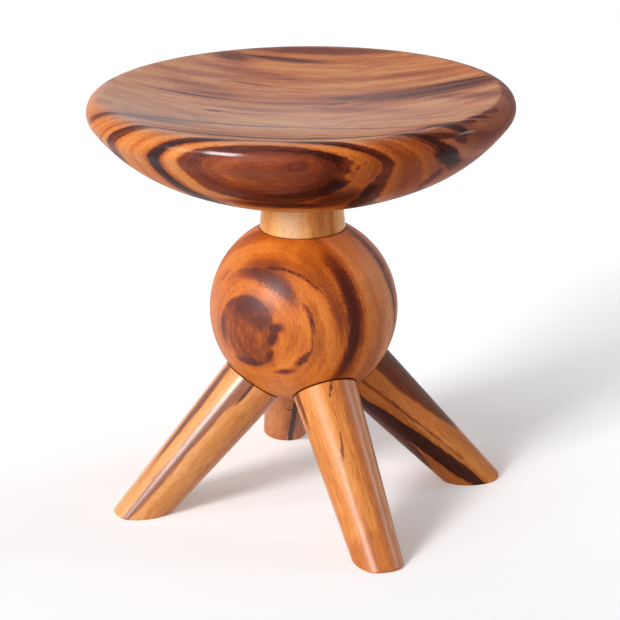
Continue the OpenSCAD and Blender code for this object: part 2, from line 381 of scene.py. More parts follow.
# A small pin knot swirls the heart on the front
front_place = add(tree, "ShaderNodeCombineXYZ", {0: spot.outputs["Z"], 1: spot.outputs["Y"]})
pin_knot = streaks(tree, front_place, [(36, 390, 12, 6, 10, 7)], 1.8)
ring_toothed = add(tree, "ShaderNodeMath", {0: ring_waved, 1: tooth}, operation="ADD")
layer = add(tree, "ShaderNodeMath", {0: ring_toothed, 1: pin_knot}, operation="ADD")
rim_bands = bands(tree, layer, 55, 165, [(60, 0.2), (64.5, 0.2), (66.5, 0.85), (70, 0.8),
    (73, 0.2), (84, 0.1), (85.5, 0.35), (87, 0.1), (90.5, 0.45), (92.5, 0.1), (96, 0.15),
    (98, 0.9), (101.5, 0.9), (103, 0.6), (104.5, 0.9), (106, 0.3), (110, 0.12), (126, 0.02),
    (128.7, 0.25), (129.8, 0.9), (134.5, 1.0), (135.8, 0.3), (138, 0.05), (142, 0.15),
    (143.5, 0.84), (147, 0.94), (151, 0.66), (155, 0.52), (160, 0.64)])
# On the front the heart stops short at the right, and runs lower towards the neck
gap = streaks(tree, front_place, [(89, 382, 13, 9, -15, 1), (82, 373, 13, 6, -15, 1),
    (-55, 367, 42, 15, 0, 0.2)], 0.7)
no_gap = add(tree, "ShaderNodeMath", {0: 1, 1: gap}, operation="SUBTRACT")
rings = add(tree, "ShaderNodeMath", {0: rim_bands, 1: no_gap}, operation="MULTIPLY")
ragged = wander(tree, board, 3, 14, 2.5, 3)
raised = add(tree, "ShaderNodeMath", {0: spot.outputs["Y"], 1: ragged}, operation="ADD")
ragged_place = add(tree, "ShaderNodeCombineXYZ", {0: spot.outputs["Z"], 1: raised})
patches = streaks(tree, ragged_place, [(58, 346, 27, 11, 22, 0.75), (12, 338, 54, 6, -2, 0.85),
    (151, 382, 17, 7, -72, 1), (157, 386, 9, 4, -60, 1), (135, 355, 22, 4.5, 45, 0.85),
    (156, 362, 5, 11, 0, 0.85), (163, 396, 9, 3.5, -42, 0.85), (176, 402, 12, 2.2, -25, 0.8),
    (188, 386, 9, 4, -70, 0.6), (77, 391, 6, 0.7, 25, 0.6), (86, 386, 6, 0.7, 25, 0.6)], 1.1)
shoulder = streaks(tree, front_place, [(146, 401.5, 22, 2.6, -10, 0.92)], 0.9)
marked = add(tree, "ShaderNodeMath", {0: patches, 1: shoulder}, operation="MAXIMUM")
front_dark = add(tree, "ShaderNodeMath", {0: rings, 1: marked}, operation="MAXIMUM")
# In the dish the layers are cut at a slant, and show as long smoky streaks
dish_across = add(tree, "ShaderNodeMath", {0: from_pith, 1: drawn}, operation="ADD")
dish_place = add(tree, "ShaderNodeCombineXYZ", {0: spot.outputs["Z"], 1: dish_across})
smoke = streaks(tree, dish_place, [
    (105, -101, 100, 15, 1, 0.75), (145, -116, 45, 5, 0, 0.85), (-105, -130, 52, 13, 27, 0.3),
    (5, -236, 80, 9, 0, 0.6), (-96, -211, 20, 10, 10, 0.5), (147, -64, 40, 8, 30, 0.34),
    (55, -62, 60, 9, 20, 0.3), (-30, -70, 60, 7, 6, 0.25), (-127, 25, 46, 5, -14, 0.5),
    (-60, -175, 60, 7, 10, 0.24), (60, -165, 90, 9, -3, 0.26), (70, -30, 70, 16, 6, 0.16)], 1.3)
thin = streaks(tree, dish_place, [
    (-103, -105, 42, 2.4, 9, 0.75), (-20, -96, 58, 1.4, 3, 0.66), (29, -91, 12, 3, 0, 0.85),
    (-62, -151, 22, 1.6, 10, 0.5), (-42, -213, 40, 4.5, 5, 0.66), (-79, -50, 8, 4, -9, 0.65),
    (-42, -50, 22, 1.5, -9, 0.5), (-42, 6, 55, 3, -7, 0.6), (62, 12, 72, 2.2, 13, 0.5),
    (128, -13, 36, 1.5, 14, 0.45), (135, -86, 45, 2.2, -3, 0.6)], 0.8)
streaked = add(tree, "ShaderNodeMath", {0: smoke, 1: thin}, operation="MAXIMUM")
# Brown bands and finer lines run with them all over the dish
combed = add(tree, "ShaderNodeVectorMath", {0: dish_place, 1: (1 / 140, 1 / 20, 1)},
    operation="MULTIPLY")
comb = add(tree, "ShaderNodeTexNoise", {"Vector": combed, "Scale": 1, "Detail": 4,
    "Roughness": 0.65})
combing = add(tree, "ShaderNodeMapRange", {"Value": comb, "From Min": 0.35, "From Max": 0.75,
    "To Max": 0.26})
dish_dark = add(tree, "ShaderNodeMath", {0: streaked, 1: combing}, operation="ADD")
# Past the lip, round the back, the same layers come out as bands again
back_bands = bands(tree, layer, 60, 270, [(100, 0.15), (115, 0.3), (118, 0.75), (127, 0.8),
    (130, 0.15), (150, 0.1), (163, 0.15), (166, 0.6), (171, 0.85), (174, 0.2), (190, 0.1),
    (204, 0.3), (207, 0.85), (214, 0.9), (217, 0.3), (228, 0.15), (234, 0.8), (242, 0.85),
    (245, 0.1), (262, 0.6), (270, 0.8)])
ground = add(tree, "ShaderNodeCombineXYZ", {0: spot.outputs["X"], 1: spot.outputs["Z"]})
from_middle = add(tree, "ShaderNodeVectorMath", {0: ground}, operation="LENGTH")
past_lip = add(tree, "ShaderNodeMapRange", {"Value": from_middle.outputs["Value"],
    "From Min": SEAT_R - RIM_R - 2, "From Max": SEAT_R - RIM_R + 3},
    interpolation_type="SMOOTHSTEP")
low_down = add(tree, "ShaderNodeMapRange", {"Value": spot.outputs["Y"],
    "From Min": RIM_Z - DISH_DEPTH + 2, "From Max": RIM_Z - DISH_DEPTH - 2})
outside = add(tree, "ShaderNodeMath", {0: past_lip, 1: low_down}, operation="MAXIMUM")
back_dark = add(tree, "ShaderNodeMix", {"Factor": outside, "A": dish_dark, "B": back_bands},
    data_type="FLOAT")
front_half = add(tree, "ShaderNodeMapRange", {"Value": from_pith, "From Min": 18,
    "From Max": 40}, interpolation_type="SMOOTHSTEP")
figure = add(tree, "ShaderNodeMix", {"Factor": front_half, "A": back_dark, "B": front_dark},
    data_type="FLOAT")
# The outside is browner towards the right, and darkest at the right end of the rim: partly a
# browner wood, partly painted shade on the side turned from the main light
browner_and_shaded = bands(tree, spot.outputs["Z"], 40, 190, [(45, 0), (75, 0.14), (105, 0.41), (150, 0.42),
    (185, 0.5)])
end_dark_and_shade = add(tree, "ShaderNodeMath", {0: browner_and_shaded, 1: outside}, operation="MULTIPLY")
figure_with_end_shade = add(tree, "ShaderNodeMath", {0: figure, 1: end_dark_and_shade}, operation="MAXIMUM")
# Dark streaks cross the lip there, but don't run down the belly
lip_streaks = streaks(tree, dish_place, [
    (174, 12, 14, 3, -45, 0.95), (166, 29, 13, 3.5, -45, 0.95), (183, -9, 12, 3, -60, 0.8),
    (150, 45, 25, 9, -4, 0.9), (118, 58, 22, 5, -10, 0.8)], 0.9)
on_crest = add(tree, "ShaderNodeMapRange", {"Value": spot.outputs["Y"], "From Min": 392,
    "From Max": 397})
crest_streaks = add(tree, "ShaderNodeMath", {0: lip_streaks, 1: on_crest},
    operation="MULTIPLY")
dark = add(tree, "ShaderNodeMath", {0: figure_with_end_shade, 1: crest_streaks}, operation="MAXIMUM")
# The redness fades at the right end of the rim; in the dish it is taken down as a painted
# reflection of the bright walls
fading = add(tree, "ShaderNodeMapRange", {"Value": spot.outputs["Z"], "From Min": 130,
    "From Max": 190})
crest = add(tree, "ShaderNodeMapRange", {"Value": from_middle.outputs["Value"],
    "From Min": SEAT_R - RIM_R, "From Max": SEAT_R - 2}, interpolation_type="SMOOTHSTEP")
off_dish = add(tree, "ShaderNodeMath", {0: crest, 1: low_down}, operation="MAXIMUM")
# This fading in the dish is painted reflection
dish_sheen = add(tree, "ShaderNodeMapRange", {"Value": from_pith, "From Min": -160, "From Max": -70,
    "To Min": 0.35, "To Max": 1})
in_dish = add(tree, "ShaderNodeMath", {0: off_dish, 1: -1, 2: 1}, operation="MULTIPLY_ADD")
dish_sheen_left = add(tree, "ShaderNodeMapRange", {"Value": spot.outputs["Z"], "From Min": -30,
    "From Max": -110})
dish_sheen_all = add(tree, "ShaderNodeMath", {0: dish_sheen, 1: dish_sheen_left}, operation="MAXIMUM")
dish_faded = add(tree, "ShaderNodeMath", {0: in_dish, 1: dish_sheen_all}, operation="MULTIPLY")
faded = add(tree, "ShaderNodeMath", {0: fading, 1: dish_faded}, operation="MAXIMUM")
# The dish and the crest of the rim, polished by use, are glossier than the belly
polished = add(tree, "ShaderNodeMapRange", {"Value": spot.outputs["Y"], "From Min": 366,
    "From Max": 390}, interpolation_type="SMOOTHSTEP")
dish_gloss = add(tree, "ShaderNodeMapRange", {"Value": spot.outputs["Z"], "From Min": 40,
    "From Max": 190, "To Min": 0.45, "To Max": 0.08})
crest_gloss = bands(tree, spot.outputs["Z"], -200, 200, [(-130, 0.4), (-70, 0.95), (0, 0.95),
    (60, 0.15), (140, 0.15), (163, 0.3), (180, 0.06)])
rim_gloss = add(tree, "ShaderNodeMapRange", {"Value": polished, "To Min": 0.13,
    "To Max": crest_gloss})
gloss = add(tree, "ShaderNodeMix", {"Factor": off_dish, "A": dish_gloss, "B": rim_gloss},
    data_type="FLOAT")
lacquered(tree, board, layer, dark, [(0.0, "#E0904A"), (0.2, "#CA6A28"), (0.5, "#95421A"),
    (0.75, "#722B14"), (1.0, "#300B03")], line_depth=0.22, coat=gloss, coat_rough=0.15,
    faded=faded)
seat.data.materials.append(seat_wood)
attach(seat, "root")
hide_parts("seat")

# Neck
# A short turned collar of paler wood between the ball and the seat. It flares a little towards
# the ball, and a round tenon at each end is glued into them.
flare_r = (NECK_H ** 2 + NECK_FLARE ** 2) / (2 * NECK_FLARE)
flare_end = math.asin(NECK_H / flare_r)
neck_bottom, neck_top = NECK_FOOT_Z - BALL_TENON, SEAT_Z + SEAT_TENON
neck_section = (
    [(0, neck_bottom), (TENON_R - PEG_CHAMFER, neck_bottom),
        (TENON_R, neck_bottom + PEG_CHAMFER), (TENON_R, NECK_FOOT_Z),
        (NECK_FOOT_R - NECK_EASE, NECK_FOOT_Z)]
    + [p for p in arc((NECK_R + flare_r, SEAT_Z), flare_r, math.pi + flare_end, math.pi, 24)
        if p[1] > NECK_FOOT_Z + NECK_EASE]
    + [(TENON_R, SEAT_Z), (TENON_R, neck_top - PEG_CHAMFER),
        (TENON_R - PEG_CHAMFER, neck_top), (0, neck_top)])
neck = turned("turned_neck", neck_section, around=160)

# Pale straight-grained wood, turned and clear lacquered: even and honey-coloured
neck_wood = blank_material("lacquered_pale_wood_neck")
tree = neck_wood.node_tree
board = on_board(tree, (0, 0, 0), (0, 0, 1), (1, 0, 0))
spot = add(tree, "ShaderNodeSeparateXYZ", {0: board})
layer = wander(tree, board, 9, 60, 9)
mottle = wander(tree, board, 12, 45, 0.10)
# Brown heartwood begins on its right side; in front, its colour is paled to less red as a painted
# sheen
bearing = turn_of(tree, spot.outputs["Y"], spot.outputs["X"])
place = add(tree, "ShaderNodeCombineXYZ", {0: bearing})
brown = streaks(tree, place, [(-75, 0, 21, 1, 0, 0.46), (-78, 0, 6, 1, 0, 0.52),
    (-60, 0, 4, 1, 0, 0.45), (180, 0, 36, 1, 0, 0.2), (-180, 0, 36, 1, 0, 0.2)], 0.9)
painted_sheen = streaks(tree, place, [(-122, 0, 16, 1, 0, 1)], 0.9)
dark = add(tree, "ShaderNodeMath", {0: brown, 1: mottle}, operation="ADD")
lacquered(tree, board, layer, dark, [(0.0, "#FFC67C"), (0.3, "#EC9C4C"), (0.6, "#B56A2C"),
    (1.0, "#6E3C1E")], 0.10, coat=0.5, coat_rough=0.2, faded=painted_sheen)
neck.data.materials.append(neck_wood)
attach(neck, "root")
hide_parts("neck")

# Ball
# The hub that holds the stool together: a turned ball with a flat land and a round socket for
# the neck above, and four bored sockets below for the dowels that hold the legs.
legs = {"right": (-1, 170, 191), "back": (83.5, 173, 184.5),
    "left": (180, 164.5, 181), "front": (278.5, 175, 179)}
LEG_TOP_R, LEG_FOOT_R, TIP_TRIM = 30.25, 22.5, 3
TOP_EASE, SOLE_EASE, TIP_EASE = 1.2, 0.7, 2.5
DOWEL_R, DOWEL_LENGTH = 12, 90


def leg_line(turn, reach, rise):
    """A leg's slope below level, its length to the floor, and how far along it leaves the ball."""
    slope = math.atan2(rise, reach)
    above = rise - BALL_Z
    leaves = above * math.sin(slope) + math.sqrt(BALL_R ** 2 - (above * math.cos(slope)) ** 2)
    return slope, math.hypot(reach, rise), leaves


def leg_frame(turn, reach, rise):
    """The place of a leg: its Z runs down its middle line from the stool's own middle line."""
    slope = leg_line(turn, reach, rise)[0]
    return (Matrix.Translation((0, 0, rise * MM)) @ Matrix.Rotation(math.radians(turn), 4, "Z")
        @ Matrix.Rotation(quarter + slope, 4, "Y"))


land_angle = math.asin((NECK_FOOT_Z - BALL_Z) / BALL_R)
ball_socket_z = NECK_FOOT_Z - BALL_TENON - END_ROOM
ball_section = (
    arc((0, BALL_Z), BALL_R, -quarter, land_angle, 90)
    + [(socket_r, NECK_FOOT_Z), (socket_r, ball_socket_z), (0, ball_socket_z)])
ball_section[0] = (0, BALL_Z - BALL_R)
ball = turned("turned_ball", ball_section, around=192)


def bore(piece, leg):
    """Cuts a leg's dowel socket into a piece."""
    leaves, bit_r, sides = leg_line(*leg)[2], DOWEL_R + GLUE_GAP, 64
    start = leaves - DOWEL_LENGTH / 2 - END_ROOM
    end = leaves + DOWEL_LENGTH / 2 + END_ROOM
    bit = turned("bit", [(0, start), (bit_r, start), (bit_r, end), (0, end)], sides)
    # Turned a little, so that its corners miss the leg's own lines
    bit.data.transform(leg_frame(*leg) @ Matrix.Rotation(quarter / sides, 4, "Z"))
    cut = piece.modifiers.new("bore", "BOOLEAN")
    cut.operation, cut.solver, cut.object = "DIFFERENCE", "EXACT", bit
    finished(piece)
    bpy.data.objects.remove(bit)


def finished(piece):
    """Turns a piece's modifiers into plain mesh, with no doubled points or empty faces."""
    bpy.context.view_layer.update()
    seen_now = piece.evaluated_get(bpy.context.evaluated_depsgraph_get())
    mesh = bpy.data.meshes.new_from_object(seen_now)
    shell = bmesh.new()
    shell.from_mesh(mesh)
    same_spot = 0.002 * MM
    bmesh.ops.remove_doubles(shell, verts=shell.verts, dist=same_spot)
    bmesh.ops.dissolve_degenerate(shell, edges=shell.edges, dist=same_spot)
    shell.to_mesh(mesh)
    shell.free()
    piece.modifiers.clear()
    piece.data = mesh


for leg in legs.values():
    bore(ball, leg)

# Tigerwood again. Here its growth layers are nearly flat sheets that stand on edge and face
# forward and left, so the ball shows them as rings about that side, round a dark heart.
ball_wood = blank_material("lacquered_tigerwood_ball")
tree = ball_wood.node_tree
HEART = (-0.6807, -0.7325, 0)
board = on_board(tree, (0, 0, BALL_Z * MM), (0, 0, 1), HEART)
wave = wander(tree, board, 22, 40, 1.0)
tooth = wander(tree, board, 1.3, 16, 0.8)
spot = add(tree, "ShaderNodeSeparateXYZ", {0: board})
facing = add(tree, "ShaderNodeVectorMath", {0: board}, operation="NORMALIZE")
faced = add(tree, "ShaderNodeSeparateXYZ", {0: facing})
opened = add(tree, "ShaderNodeMath", {0: faced.outputs["X"]}, operation="ARCCOSINE")
opened_degrees = add(tree, "ShaderNodeMath", {0: opened}, operation="DEGREES")
ring_waved = add(tree, "ShaderNodeMath", {0: opened_degrees, 1: wave}, operation="ADD")
ring_angle = add(tree, "ShaderNodeMath", {0: ring_waved, 1: tooth}, operation="ADD")
ring_frayed = add(tree, "ShaderNodeMath", {0: tooth, 1: ring_angle}, operation="ADD")
round_degrees = turn_of(tree, spot.outputs["Y"], spot.outputs["Z"])
ring_place = add(tree, "ShaderNodeCombineXYZ", {0: round_degrees, 1: ring_angle})
frayed_place = add(tree, "ShaderNodeCombineXYZ", {0: round_degrees, 1: ring_frayed})
# Rings: each row begins with degrees round from the top and degrees out from the heart
ring_lines = streaks(tree, ring_place, [
    (66, 101, 34, 1.5, 3, 0.9), (15, 42.5, 44, 1.0, 7.4, 0.9), (72, 35.3, 20, 1.5, 0, 0.85),
    (98, 35, 15, 0.8, 0, 0.7), (118, 32.6, 12, 2.4, -8, 0.75), (149, 28.6, 13, 2.0, -10, 0.85),
    (-48, 46, 8, 1.5, 0, 0.5)], 0.8)
ring_brush = streaks(tree, frayed_place, [
    (78, 61.8, 46, 5.2, -4.5, 1.0), (10, 34.6, 40, 5, -5.4, 0.75)], 1.3)
patchy = wander(tree, board, 5, 9, 0.35, 3)
kept_lines = add(tree, "ShaderNodeMath", {0: patchy, 1: 0.75}, operation="ADD",
    use_clamp=True)
broken_lines = add(tree, "ShaderNodeMath", {0: ring_lines, 1: kept_lines},
    operation="MULTIPLY")
ring_streaks = add(tree, "ShaderNodeMath", {0: broken_lines, 1: ring_brush},
    operation="MAXIMUM")
# Redder shadows of colour beside them
ring_haze = streaks(tree, ring_place, [
    (93, 27, 24, 6, 0, 0.22), (42, 55, 26, 6, 0, 0.36), (68, 52, 30, 5, 0, 0.42),
    (25, 46, 34, 4, 6, 0.36), (0, 43, 24, 4.5, 0, 0.42), (88, 38, 40, 3, 0, 0.3),
    (60, 103, 46, 5, 3, 0.35), (-20, 66, 40, 5, 0, 0.3), (120, 80, 60, 6, 0, 0.25)], 1.4)
# The heart is a round patch, cut off straight on its right, with a small hook past the cut
side = add(tree, "ShaderNodeMath", {0: spot.outputs["Y"], 1: tooth}, operation="ADD")
rise_waved = add(tree, "ShaderNodeMath", {0: spot.outputs["Z"], 1: wave}, operation="ADD")
heart_place = add(tree, "ShaderNodeCombineXYZ", {0: side, 1: rise_waved})
heart_round = streaks(tree, heart_place, [(-12, -1, 34, 35, 0, 1)], 0.16)
heart_left = add(tree, "ShaderNodeMapRange", {"Value": side, "From Min": 19, "From Max": 14},
    interpolation_type="SMOOTHSTEP")
heart_parts = streaks(tree, heart_place, [
    (-10, 25, 36, 15, 8, 0.8), (-44, -4, 9, 28, 0, 0.75), (-12, -34, 28, 9, 0, 0.85),
    (14, -24, 7, 14, 0, 0.72), (4, 13, 15, 12, -20, 0.8)], 1.7)
mottle = wander(tree, board, 5, 10, 0.15, 3)
heart_base = add(tree, "ShaderNodeMath", {0: heart_parts, 1: 0.45}, operation="MAXIMUM")
heart_depth = add(tree, "ShaderNodeMath", {0: mottle, 1: heart_base}, operation="ADD")
heart_shape = add(tree, "ShaderNodeMath", {0: heart_round, 1: heart_left}, operation="MULTIPLY")
heart = add(tree, "ShaderNodeMath", {0: heart_shape, 1: heart_depth}, operation="MULTIPLY")
hook = streaks(tree, heart_place, [(18, 8, 7.5, 4.5, 0, 0.8), (16, -1, 5, 10, -22, 0.78)], 1.1)
heart_hooked = add(tree, "ShaderNodeMath", {0: heart, 1: hook}, operation="MAXIMUM")
ring_dark = add(tree, "ShaderNodeMath", {0: ring_haze, 1: ring_streaks}, operation="MAXIMUM")
figure = add(tree, "ShaderNodeMath", {0: heart_hooked, 1: ring_dark}, operation="MAXIMUM")
blotch = wander(tree, board, 14, 30, 0.07, 3)
blotched = add(tree, "ShaderNodeMath", {0: blotch, 1: 0.07}, operation="ADD")
plain_dark = add(tree, "ShaderNodeMath", {0: figure, 1: blotched}, operation="ADD")
# A dark line of painted shade lies in the crease round each leg's top and the neck's foot
spot = add(tree, "ShaderNodeTexCoord")
dark = plain_dark
crease_shades = [(leg_frame(*leg), LEG_TOP_R, 2.2, 0.85) for leg in legs.values()]
crease_shades.append((Matrix.Translation((0, 0, BALL_Z * MM)), NECK_FOOT_R, 1.3, 0.55))
for matrix, radius, width, depth in crease_shades:
    local = add(tree, "ShaderNodeMapping", {"Vector": spot.outputs["Object"],
        "Location": matrix.translation, "Rotation": matrix.to_euler(),
        "Scale": (MM, MM, MM)}, vector_type="TEXTURE")
    parts = add(tree, "ShaderNodeSeparateXYZ", {0: local})
    behind = add(tree, "ShaderNodeMath", {0: parts.outputs["Z"], 1: 0}, operation="MINIMUM")
    beside = add(tree, "ShaderNodeCombineXYZ", {0: parts.outputs["X"], 1: parts.outputs["Y"],
        2: behind})
    out = add(tree, "ShaderNodeVectorMath", {0: beside}, operation="LENGTH")
    line = add(tree, "ShaderNodeMapRange", {"Value": out.outputs["Value"],
        "From Min": radius + width, "From Max": radius + 0.3, "To Max": depth},
        interpolation_type="SMOOTHSTEP")
    dark = add(tree, "ShaderNodeMath", {0: dark, 1: line}, operation="MAXIMUM")
# The redness fades to tan past the wide dark ring
faded = add(tree, "ShaderNodeMapRange", {"Value": ring_angle, "From Min": 66, "From Max": 96})
# It shines most round the heart, where it is handled
handled = add(tree, "ShaderNodeMapRange", {"Value": ring_angle, "From Min": 38, "From Max": 62,
    "To Min": 1.1, "To Max": 0.32})
lacquered(tree, board, ring_angle, dark, [(0.0, "#E98A38"), (0.2, "#D26E22"),
    (0.5, "#96441A"), (0.75, "#6C2B13"), (1.0, "#511809")], line_depth=0.18, coat=handled,
    coat_rough=0.42, faded=faded)
ball.data.materials.append(ball_wood)
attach(ball, "root")
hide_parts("ball")

# Legs
# Four tapered round legs of the same wood, set by eye, so each has its own lean. The top is
# coped to sit on the ball, the foot is cut flat to the floor, and both edges are eased by hand.
leg_tree = bpy.data.node_groups.new("coped_leg", "GeometryNodeTree")
inputs = dict.fromkeys(("Turn", "Slope", "Rise", "Reach", "Start radius", "Taper",
    "Ball radius", "Ball height", "Top ease", "Sole ease", "Tip radius", "Tip ease"), "Float")
inputs |= {"Sides": "Int", "Rows": "Int", "Wood": "Material"}
for name, kind in inputs.items():
    leg_tree.interface.new_socket(name, in_out="INPUT", socket_type="NodeSocket" + kind)
leg_tree.interface.new_socket("Leg", in_out="OUTPUT", socket_type="NodeSocketGeometry")
tree = leg_tree
size = add(tree, "NodeGroupInput").outputs
blank = add(tree, "GeometryNodeMeshCylinder", {"Vertices": size["Sides"],
    "Side Segments": size["Rows"], "Fill Segments": 12, "Radius": 1, "Depth": 1},
    fill_type="TRIANGLE_FAN")
corner = add(tree, "ShaderNodeSeparateXYZ", {0: add(tree, "GeometryNodeInputPosition")})
level = add(tree, "ShaderNodeMath", {0: 0.5, 1: corner.outputs["Z"]}, operation="SUBTRACT")
# Rows crowd towards both ends, where the eased edges need them
down = add(tree, "ShaderNodeMapRange", {"Value": level}, interpolation_type="SMOOTHSTEP")
lean = add(tree, "ShaderNodeMath", {0: size["Slope"], 1: quarter}, operation="ADD")
tilt = add(tree, "ShaderNodeCombineXYZ", {1: lean, 2: size["Turn"]})
away = add(tree, "ShaderNodeMath", {0: corner.outputs["X"], 1: -1}, operation="MULTIPLY")
flat_spoke = add(tree, "ShaderNodeCombineXYZ", {0: away, 1: corner.outputs["Y"]})
spoke = add(tree, "ShaderNodeVectorRotate", {"Vector": flat_spoke, "Rotation": tilt},
    rotation_type="EULER_XYZ")
axis = add(tree, "ShaderNodeVectorRotate", {"Vector": (0, 0, 1), "Rotation": tilt},
    rotation_type="EULER_XYZ")
top_point = add(tree, "ShaderNodeCombineXYZ", {2: size["Rise"]})
ball_point = add(tree, "ShaderNodeCombineXYZ", {2: size["Ball height"]})
# Each straight line down the leg's side starts at root and runs along way
spread = add(tree, "ShaderNodeVectorMath", {0: spoke, "Scale": size["Start radius"]},
    operation="SCALE")
root = add(tree, "ShaderNodeVectorMath", {0: top_point, 1: spread}, operation="ADD")
drawn_in = add(tree, "ShaderNodeVectorMath", {0: spoke, "Scale": size["Taper"]},
    operation="SCALE")
way = add(tree, "ShaderNodeVectorMath", {0: axis, 1: drawn_in}, operation="SUBTRACT")
# Where that line leaves the ball
from_ball = add(tree, "ShaderNodeVectorMath", {0: root, 1: ball_point}, operation="SUBTRACT")
way_way = add(tree, "ShaderNodeVectorMath", {0: way, 1: way}, operation="DOT_PRODUCT")
way_way = way_way.outputs["Value"]
ball_way = add(tree, "ShaderNodeVectorMath", {0: from_ball, 1: way},
    operation="DOT_PRODUCT").outputs["Value"]
ball_ball = add(tree, "ShaderNodeVectorMath", {0: from_ball, 1: from_ball},
    operation="DOT_PRODUCT").outputs["Value"]
ball_square = add(tree, "ShaderNodeMath", {0: size["Ball radius"], 1: 2}, operation="POWER")
outside = add(tree, "ShaderNodeMath", {0: ball_ball, 1: ball_square}, operation="SUBTRACT")
product = add(tree, "ShaderNodeMath", {0: way_way, 1: outside}, operation="MULTIPLY")
square = add(tree, "ShaderNodeMath", {0: ball_way, 1: ball_way}, operation="MULTIPLY")
inside = add(tree, "ShaderNodeMath", {0: square, 1: product}, operation="SUBTRACT")
root_of = add(tree, "ShaderNodeMath", {0: inside}, operation="SQRT")
over = add(tree, "ShaderNodeMath", {0: root_of, 1: ball_way}, operation="SUBTRACT")
leaves = add(tree, "ShaderNodeMath", {0: over, 1: way_way}, operation="DIVIDE")
# Where it meets the floor
root_parts = add(tree, "ShaderNodeSeparateXYZ", {0: root})
way_parts = add(tree, "ShaderNodeSeparateXYZ", {0: way})
drop = add(tree, "ShaderNodeMath", {0: root_parts.outputs["Z"], 1: way_parts.outputs["Z"]},
    operation="DIVIDE")
lands = add(tree, "ShaderNodeMath", {0: drop, 1: -1}, operation="MULTIPLY")
side_length = add(tree, "ShaderNodeMath", {0: lands, 1: leaves}, operation="SUBTRACT")
gone = add(tree, "ShaderNodeMath", {0: side_length, 1: down}, operation="MULTIPLY")
along = add(tree, "ShaderNodeMath", {0: leaves, 1: gone}, operation="ADD")
carried = add(tree, "ShaderNodeVectorMath", {0: way, "Scale": along}, operation="SCALE")
plain = add(tree, "ShaderNodeVectorMath", {0: root, 1: carried}, operation="ADD")


def eased(tree, depth, ease):
    """How far a quarter-round edge of radius ease stands back, at a depth below the edge."""
    share = add(tree, "ShaderNodeMath", {0: depth, 1: ease}, operation="DIVIDE")
    left = add(tree, "ShaderNodeMath", {0: 1, 1: share}, operation="SUBTRACT", use_clamp=True)
    flat = add(tree, "ShaderNodeMath", {0: left, 1: left}, operation="MULTIPLY")
    rest = add(tree, "ShaderNodeMath", {0: 1, 1: flat}, operation="SUBTRACT")
    high = add(tree, "ShaderNodeMath", {0: rest}, operation="SQRT")
    back = add(tree, "ShaderNodeMath", {0: 1, 1: high}, operation="SUBTRACT")
    return add(tree, "ShaderNodeMath", {0: back, 1: ease}, operation="MULTIPLY")


# The eased edge at the top stands back from the side, and a little off the ball
top_back = eased(tree, gone, size["Top ease"])
off_ball = add(tree, "ShaderNodeVectorMath", {0: axis, "Scale": 0.4}, operation="SCALE")
inward = add(tree, "ShaderNodeVectorMath", {0: off_ball, 1: spoke}, operation="SUBTRACT")
step_back = add(tree, "ShaderNodeVectorMath", {0: inward, "Scale": top_back},
    operation="SCALE")
topped = add(tree, "ShaderNodeVectorMath", {0: plain, 1: step_back}, operation="ADD")
# The edge of the sole is eased towards the foot's middle, and its tip is cut back further
foot_flat = add(tree, "ShaderNodeCombineXYZ", {0: size["Reach"]})
foot_point = add(tree, "ShaderNodeVectorRotate", {"Vector": foot_flat,
    "Angle": size["Turn"]}, rotation_type="Z_AXIS")
topped_parts = add(tree, "ShaderNodeSeparateXYZ", {0: topped})
height = topped_parts.outputs["Z"]
shadow = add(tree, "ShaderNodeCombineXYZ", {0: topped_parts.outputs["X"],
    1: topped_parts.outputs["Y"]})
offset = add(tree, "ShaderNodeVectorMath", {0: shadow, 1: foot_point}, operation="SUBTRACT")
offset_length = add(tree, "ShaderNodeVectorMath", {0: offset},
    operation="LENGTH").outputs["Value"]
sole_back = eased(tree, height, size["Sole ease"])
tip_back = eased(tree, height, size["Tip ease"])
eased_length = add(tree, "ShaderNodeMath", {0: offset_length, 1: sole_back},
    operation="SUBTRACT")
tip_whole = add(tree, "ShaderNodeMath", {0: size["Tip radius"], 1: tip_back},
    operation="SUBTRACT")
# Points inside the sole draw in by the same share as the edge outside them
flat_corner = add(tree, "ShaderNodeCombineXYZ", {0: corner.outputs["X"],
    1: corner.outputs["Y"]})
share_out = add(tree, "ShaderNodeVectorMath", {0: flat_corner}, operation="LENGTH")
tip_length = add(tree, "ShaderNodeMath", {0: tip_whole, 1: share_out.outputs["Value"]},
    operation="MULTIPLY")
shorter = add(tree, "ShaderNodeMath", {0: eased_length, 1: tip_length}, operation="MINIMUM")
outward = add(tree, "ShaderNodeVectorMath", {0: offset, 1: foot_point},
    operation="DOT_PRODUCT").outputs["Value"]
is_outer = add(tree, "ShaderNodeMath", {0: outward, 1: 0}, operation="GREATER_THAN")
is_low = add(tree, "ShaderNodeMath", {0: height, 1: 4 * TIP_TRIM * MM}, operation="LESS_THAN")
is_tip = add(tree, "ShaderNodeMath", {0: is_outer, 1: is_low}, operation="MULTIPLY")
new_length = add(tree, "ShaderNodeMix", {"Factor": is_tip, "A": eased_length, "B": shorter},
    data_type="FLOAT")
safe_length = add(tree, "ShaderNodeMath", {0: offset_length, 1: 0.0001}, operation="MAXIMUM")
ratio = add(tree, "ShaderNodeMath", {0: new_length, 1: safe_length}, operation="DIVIDE")
ratio_up = add(tree, "ShaderNodeMath", {0: ratio, 1: 0}, operation="MAXIMUM")
kept = add(tree, "ShaderNodeVectorMath", {0: offset, "Scale": ratio_up}, operation="SCALE")
placed = add(tree, "ShaderNodeVectorMath", {0: foot_point, 1: kept}, operation="ADD")
lifted = add(tree, "ShaderNodeCombineXYZ", {2: height})
place = add(tree, "ShaderNodeVectorMath", {0: placed, 1: lifted}, operation="ADD")
shaped = add(tree, "GeometryNodeSetPosition", {"Geometry": blank, "Position": place})
